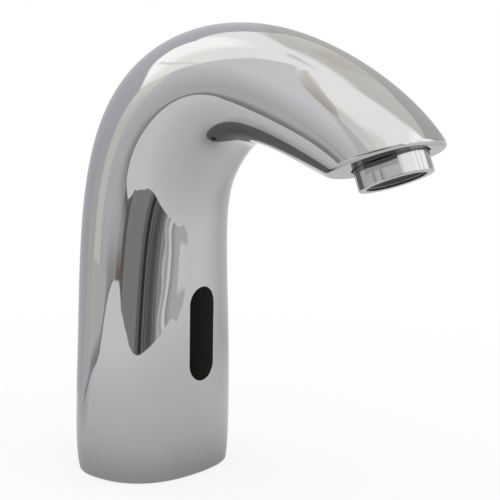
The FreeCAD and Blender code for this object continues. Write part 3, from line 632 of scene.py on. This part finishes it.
SMALL_PIECES = ((window_glass, "sensor_window", "tap"),
                (aerator_ring, "aerator_ring", "aerator_sleeve"),
                (aerator_core, "aerator_insert", "aerator_core"),
                (aerator_mesh, "aerator_screen", "aerator_core"))
for make, node, body_name in SMALL_PIECES:
    piece = make()
    dress(piece, SLOTS[node])
    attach(piece, body_name)
    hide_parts(node)


# ------------------------------------------------------------------ studio
# The plain room that the chrome reflects.  Directions round the tap, in degrees:
# lon 0 looks to -Y, 90 to +X, 270 to -X; lat is the height above the horizon.
def soft_step(x, edge0, edge1):
    """From 0 at edge0 smoothly to 1 at edge1."""
    s = np.clip((x - edge0) / (edge1 - edge0), 0, 1)
    return s * s * (3 - 2 * s)


def span(x, lo, hi, soft):
    """1 between lo and hi and 0 outside, with soft edges."""
    return soft_step(x, lo - soft / 2, lo + soft / 2) * (1 - soft_step(x, hi - soft / 2, hi + soft / 2))


def curve(lon, pairs):
    """Piecewise line round the tap through (lon, value) pairs."""
    xs, ys = zip(*sorted(pairs))
    return np.interp(np.mod(lon, 360), xs, ys, period=360)


def mixed(level, k, colour):
    """The level with the share k of it given over to a colour."""
    k = np.asarray(k)[..., None]
    return level * (1 - k) + np.asarray(colour) * k


# where the pale table ends: (lon, metres from the tap)
TABLE_EDGE = [(4, 0.375), (8, 0.37), (14, 0.345), (17, 0.372), (20, 0.385), (24, 0.44), (26, 2.1), (40, 2.1),
              (126, 2.1), (131, 0.227), (151, 0.135), (208, 0.131), (222, 0.26), (229, 0.31), (233, 0.37),
              (236, 0.52), (240, 0.90), (244, 1.40), (248, 1.90), (251, 2.19), (260, 2.19), (263, 1.75),
              (268, 0.98), (277, 0.66), (288, 0.44), (296, 0.375), (304, 0.345), (312, 0.335), (332, 0.335),
              (350, 0.347)]
# boards and posts round the table: lon from, to, softness, colour
BOARDS = [
    (126, 200, 8, (0.60, 0.605, 0.635)),              # lilac wall behind
    (198, 213, 8, (0.69, 0.67, 0.64)),
    (212, 221, 4, (0.78, 0.73, 0.66)),                # cream strip
    (219, 240, 5, (0.70, 0.69, 0.685)),               # grey wall to the left
    (238, 262, 9, (0.46, 0.44, 0.41)),
    (254, 269, 4, (0.20, 0.175, 0.15)),               # brown post
    (268.5, 302, 2, (0.345, 0.335, 0.33)),            # grey board
    (299, 307.5, 3, (0.20, 0.195, 0.19)),
    (305.5, 313, 2, (0.055, 0.055, 0.05)),            # black post
    (312.5, 315.5, 2, (0.24, 0.235, 0.23)),           # its bright edge
    (315, 319, 2.5, (0.12, 0.115, 0.11)),
    (318.5, 334, 3, (0.165, 0.155, 0.145)),           # dark board
    (324, 328, 3, (0.13, 0.12, 0.115)),
    (333, 340, 4, (0.24, 0.23, 0.22)),
    (339.5, 345, 3, (0.42, 0.415, 0.41)),
    (344.5, 347.5, 1.5, (0.84, 0.84, 0.85)),          # thin pale line
    (347.3, 353, 2, (0.61, 0.60, 0.60)),
    (352.7, 358.5, 1.5, (1.00, 1.00, 1.00)),          # light post
    (358.2, 361.8, 1.5, (0.47, 0.46, 0.45)),
    (361.5, 366, 2, (0.61, 0.60, 0.59)),
    (365.5, 386, 3, (0.71, 0.70, 0.68)),
]
# table's brightness by distance from the tap, which stands in its own shade
TABLE_SHADE = [(0.022, 0.40), (0.032, 0.48), (0.045, 0.58), (0.065, 0.69), (0.10, 0.77), (0.24, 0.87),
               (0.42, 0.98), (2.2, 1.0)]
# top line of the walls: (lon, lat)
WALL_TOP = [(0, 24), (20, 26), (40, 30), (60, 34), (73, 36), (87, 39), (95, 37), (104, 35), (111, 34),
            (118, 38), (125, 47), (134, 52), (147, 53), (163, 52), (182, 48), (185, 40), (192, 32), (199, 27),
            (204, 24), (209, 20), (214.5, 15), (219, 17.5), (222, 20), (226, 24), (229, 30), (233, 39),
            (236, 50), (240, 61), (244, 71), (250, 72), (255, 58), (259, 50), (264.5, 40), (270, 37),
            (280, 34), (300, 26), (330, 24)]
# light over the walls: lon from, to, softness, lat where it starts and ends fading, colour
LIGHTS = [
    (176, 214, 16, 55, 75, (1.78, 1.77, 1.70)),       # window light from the back left
    (213, 226, 9, 30, 45, (1.48, 1.45, 1.36)),
    (243, 268, 7, 62, 76, (1.13, 1.10, 1.06)),
    (264, 308, 8, 47, 57, (1.10, 1.07, 1.02)),
    (300, 330, 10, 52, 60, (1.24, 1.20, 1.10)),
    (58, 132, 12, 66, 78, (0.95, 0.92, 0.86)),        # pale fans on the right
    (96, 110, 6, 56, 62, (0.86, 0.82, 0.74)),
    (28, 60, 6, 40, 50, (1.74, 1.72, 1.58)),
]
# brown leaf beside the grey wall: lat, middle lon, half width, brightness
LEAF = np.array([(37.5, 262, 0.5, 0.63), (40, 262.7, 4.3, 0.64), (45, 263, 6.0, 0.68), (50, 263.4, 7.1, 0.76),
                 (61, 261.8, 6.2, 0.90), (71.5, 258.2, 4.8, 1.0), (78, 254.5, 1.2, 1.1)])


def board_level(lon, bend=0.0):
    """Colour of the boards at each lon, which bend may shift."""
    level = np.full(lon.shape + (3,), 0.95)
    at = np.mod(lon + bend, 360)
    for lo, hi, soft, colour in BOARDS:
        level = mixed(level, np.maximum(span(at, lo, hi, soft), span(at + 360, lo, hi, soft)), colour)
    return level


def ground_level(lon, far, edge):
    """The pale table, and past its edge what lies round it."""
    at, past_front = lon % 360, (lon + 40) % 360
    reach, bright = zip(*TABLE_SHADE)
    table = np.interp(np.log(far), np.log(reach), bright)
    table = table * (1 - 0.28 * span(at, 60, 124, 40) * soft_step(far, 0.06, 0.3))
    table = table * (1 - 0.20 * span(at, 182, 217, 14) * soft_step(far, 0.04, 0.12))
    level = board_level(lon, 3.0 * np.sin(far * 19) * span(past_front, 22, 70, 8))
    # grey floor to the left, dark line behind the table, white floor again to the front right
    far_grey = np.where(at < 238, 0.72, 0.50)
    grey = 0.33 + (far_grey - 0.33) * soft_step(far / edge, 1.02, 1.75)
    level = mixed(level, span(at, 214, 262, 8), grey[..., None] * np.array((1, 1, 0.96)))
    behind = span(at, 206, 222, 6) * (1 - soft_step(far - edge, 0.035, 0.055))
    level = mixed(level, behind, (0.42, 0.43, 0.44))
    level = mixed(level, span(past_front, 52.5, 90, 2) * soft_step(far, 0.435, 0.455), (1, 1, 1))
    return np.where((far < edge)[..., None], table[..., None] * np.array((1, 1, 0.99)), level)


def wall_level(lon, lat):
    """The walls: at their foot the boards' colours, further up plain greys."""
    at = np.mod(lon, 360)
    rise = np.clip(lat / 30, 0, 1)[..., None]
    left = span(at, 216, 262, 6)
    climb = np.clip((lat - 2) / 26, 0, 1)[..., None]
    upper = np.full(lon.shape + (3,), 0.82)
    upper = mixed(upper, left, np.array((0.75, 0.745, 0.745)) + 0.30 * climb)
    upper = mixed(upper, span(at, 128, 216, 8), np.array((0.62, 0.62, 0.66)) + 0.10 * rise)
    upper = mixed(upper, span(at, 62, 128, 8), np.array((0.50, 0.50, 0.48)) + 0.14 * rise)
    lift = np.where(left > 0.5, soft_step(lat, -2.2, 1.5), soft_step(lat, 1, 13))
    return mixed(board_level(lon), lift, upper)


def studio_level(lon, lat):
    """Brightness of the studio, as red, green and blue."""
    at = np.mod(lon, 360)
    level = np.ones(lon.shape + (3,)) * np.array((1.45, 1.44, 1.40))
    for lo, hi, soft, fade0, fade1, colour in LIGHTS:
        level = mixed(level, span(at, lo, hi, soft) * (1 - soft_step(lat, fade0, fade1)), colour)
    level = mixed(level, span(at, 150, 205, 20) * span(lat, 80, 88.5, 2), (1.12, 1.10, 1.03))
    top = curve(lon, WALL_TOP)
    level = mixed(level, 1 - soft_step(lat, top - 0.7, top + 0.7), wall_level(lon, lat))
    # bright window to the front right, with its bars
    pane = span(lat, 3, 34, 2)
    level = mixed(level, span(at, 9, 60, 2) * pane, (1.62, 1.62, 1.60))
    level = mixed(level, (span(at, 20, 23.5, 3) + span(at, 37, 40.5, 3)) * pane, (1.12, 1.08, 1.02))
    # cream corner of the wall, and a thin cream rail over it
    glow = (1 + 0.22 * soft_step(lat, 8, 16))[..., None]
    corner = span(at, 212, 224 - lat * 0.1, 3) * (1 - soft_step(lat, 17, 19))
    level = mixed(level, corner, np.array((0.94, 0.90, 0.83)) * glow)
    rail = curve(lon, [(198, 31), (205, 30), (214, 28), (222, 26.5), (230, 24)])
    rail_share = span(at, 200, 229, 5) * span(lat, rail - 0.7, rail + 0.7, 1.0) * 0.8
    level = mixed(level, rail_share, (1.15, 1.12, 1.02))
    middle, half, tone = (np.interp(lat, LEAF[:, 0], column) for column in LEAF[:, 1:].T)
    off = np.abs(at - middle)
    tone = tone * (1 + 0.10 * soft_step(off, 0, half))
    leaf = (1 - soft_step(off, half * 0.9, half * 1.1)) * span(lat, 38, 78, 2)
    return mixed(level, leaf, tone[..., None] * np.array((1.07, 1.0, 0.90)))


LEVEL = "level"                                      # the colours stored on a stage sheet
TWICE_SEEN = 0.42                                    # how bright it is when seen by way of two chrome faces


def emission(name):
    """Light of the colours stored on the mesh, dimmer from the second chrome face on."""
    m = bpy.data.materials.new(name)
    m.use_nodes = True
    nt = m.node_tree
    nt.nodes.clear()
    depth = add_node(nt, "ShaderNodeLightPath", {}).outputs["Glossy Depth"]
    dim = add_node(nt, "ShaderNodeMapRange",
                   {"Value": depth, "From Min": 1, "From Max": 2, "To Min": 1, "To Max": TWICE_SEEN})
    colour = add_node(nt, "ShaderNodeAttribute", {}, attribute_name=LEVEL).outputs["Color"]
    light = add_node(nt, "ShaderNodeEmission", {"Color": colour, "Strength": dim.outputs["Result"]})
    add_node(nt, "ShaderNodeOutputMaterial", {"Surface": light.outputs["Emission"]})
    return m


def card(name, points, level):
    """A stage sheet, closed round the tap, from a (rows, columns) grid of points with a level at each."""
    n, m = points.shape[:2]
    faces = [(r * m + c, r * m + (c + 1) % m, (r + 1) * m + (c + 1) % m, (r + 1) * m + c)
             for r in range(n - 1) for c in range(m)]
    ob = new_object(name, points.reshape(-1, 3).tolist(), faces)
    colours = np.ones((n * m, 4), np.float32)
    colours[:, :3] = level.reshape(-1, 3)
    ob.data.color_attributes.new(LEVEL, "FLOAT_COLOR", "POINT").data.foreach_set("color", colours.ravel())
    ob.data.materials.append(emission(name))
    ob.visible_camera = False
    return ob


ROOM, ROOM_MIDDLE = 2.2, 0.08                        # metres: radius of the dome, height of its middle
LONS = np.arange(0, 360, 0.5)


def dome():
    """The walls and the light over them, all round the tap."""
    lon, lat = np.meshgrid(LONS, np.linspace(-2.2, 90, 186))
    a, e = np.radians(lon), np.radians(lat)
    points = np.stack([np.sin(a) * np.cos(e), -np.cos(a) * np.cos(e), np.sin(e)], -1) * ROOM
    points[..., 2] += ROOM_MIDDLE
    points[0, :, 2] = 0.0
    card("studio_dome", points, studio_level(lon, lat))


def ground_sheet():
    """The ground as the chrome sees it, from the tap's foot by the table's edge to the dome."""
    edge = curve(LONS, TABLE_EDGE)
    a = np.radians(LONS)
    under = 1 / np.sqrt((np.sin(a) / 0.030) ** 2 + (np.cos(a) / 0.024) ** 2)
    near, past = edge * 0.9985, edge * 1.0015
    far = [under * (near / under) ** k for k in np.linspace(0, 1, 60)]
    far = np.array(far + [past * (ROOM / past) ** k for k in np.linspace(0, 1, 90)])
    points = np.stack([np.sin(a)[None] * far, -np.cos(a)[None] * far, np.full_like(far, 0.00015)], -1)
    sheet = card("studio_ground", points, ground_level(np.broadcast_to(LONS, far.shape), far, edge[None]))
    sheet.visible_diffuse = sheet.visible_shadow = sheet.visible_transmission = False


def floor_material():
    """Pale floor that keeps the tap's shadow near it and goes white further out, in view and in mirrors."""
    m = bpy.data.materials.new("floor")
    m.use_nodes = True
    nt = m.node_tree
    bsdf = nt.nodes["Principled BSDF"]
    bsdf.inputs["Roughness"].default_value = 0.9
    bsdf.inputs["Specular IOR Level"].default_value = 0.1
    pale = ramp(nt, noise(nt, 6, 2), ((0.3, (0.80, 0.80, 0.80)), (0.7, (0.82, 0.82, 0.82))))
    nt.links.new(pale, bsdf.inputs["Base Color"])
    rays = add_node(nt, "ShaderNodeLightPath", {}).outputs
    seen = rays["Is Camera Ray"]
    for other in ("Is Glossy Ray", "Is Transmission Ray"):
        most = add_node(nt, "ShaderNodeMath", {0: seen, 1: rays[other]}, operation="MAXIMUM")
        seen = most.outputs[0]
    place = add_node(nt, "ShaderNodeTexCoord", {}).outputs["Object"]
    reach = add_node(nt, "ShaderNodeVectorMath", {0: place}, operation="LENGTH").outputs["Value"]
    fade = add_node(nt, "ShaderNodeMapRange",
                    {"Value": reach, "From Min": 0.10, "From Max": 0.40, "To Min": 0.78, "To Max": 1.0})
    share = add_node(nt, "ShaderNodeMath", {0: seen, 1: fade.outputs["Result"]}, operation="MULTIPLY")
    white = add_node(nt, "ShaderNodeEmission", {"Color": (1, 1, 1, 1), "Strength": 1.0}).outputs["Emission"]
    mix = add_node(nt, "ShaderNodeMixShader", {"Fac": share.outputs[0], 1: bsdf.outputs["BSDF"], 2: white})
    nt.links.new(mix.outputs["Shader"], nt.nodes["Material Output"].inputs["Surface"])
    return m


def round_floor():
    """The floor that is seen, a disc just under the tap."""
    corners, rad, height = 96, 2.15, -0.0002
    angles = np.linspace(0, 2 * math.pi, corners, endpoint=False)
    ring = [(rad * math.cos(a), rad * math.sin(a), height) for a in angles]
    floor = new_object("floor", ring, [list(range(corners))])
    floor.data.materials.append(floor_material())


dome()
ground_sheet()
round_floor()
world = bpy.data.worlds.new("studio")
bpy.context.scene.world = world
world.use_nodes = True
world.node_tree.nodes["Background"].inputs["Color"].default_value = (1, 1, 1, 1)
world.node_tree.nodes["Background"].inputs["Strength"].default_value = 1.0

# ------------------------------------------------------------------ camera
AZ, EL, ROLL = math.radians(-51.333), math.radians(6.878), math.radians(0.659)
DISTANCE, AIM_HEIGHT, AIM_RIGHT = 0.42977, 0.081416, 0.036115     # metres
PICTURE, FOCAL, RISE, SENSOR = 500, 1136.23, 2.631, 36.0          # pixels, and the sensor in mm


def camera():
    """Camera at the photograph's viewing angle."""
    back = Vector((math.sin(AZ) * math.cos(EL), -math.cos(AZ) * math.cos(EL), math.sin(EL)))
    level_right = Vector((math.cos(AZ), math.sin(AZ), 0))
    level_up = back.cross(level_right)
    target = Vector((0, 0, AIM_HEIGHT)) + level_right * AIM_RIGHT
    right = level_right * math.cos(ROLL) + level_up * math.sin(ROLL)
    up = -level_right * math.sin(ROLL) + level_up * math.cos(ROLL)
    data = bpy.data.cameras.new("camera")
    data.sensor_fit, data.sensor_width = "HORIZONTAL", SENSOR
    data.lens = FOCAL / PICTURE * SENSOR
    data.shift_y = RISE / PICTURE
    data.clip_start, data.clip_end = 0.01, 20
    cam = bpy.data.objects.new("camera", data)
    bpy.context.scene.collection.objects.link(cam)
    turn = Matrix((right, up, back)).transposed().to_4x4()
    cam.matrix_world = Matrix.Translation(target + back * DISTANCE) @ turn
    bpy.context.scene.camera = cam


camera()
bpy.context.scene.view_settings.view_transform = "Standard"
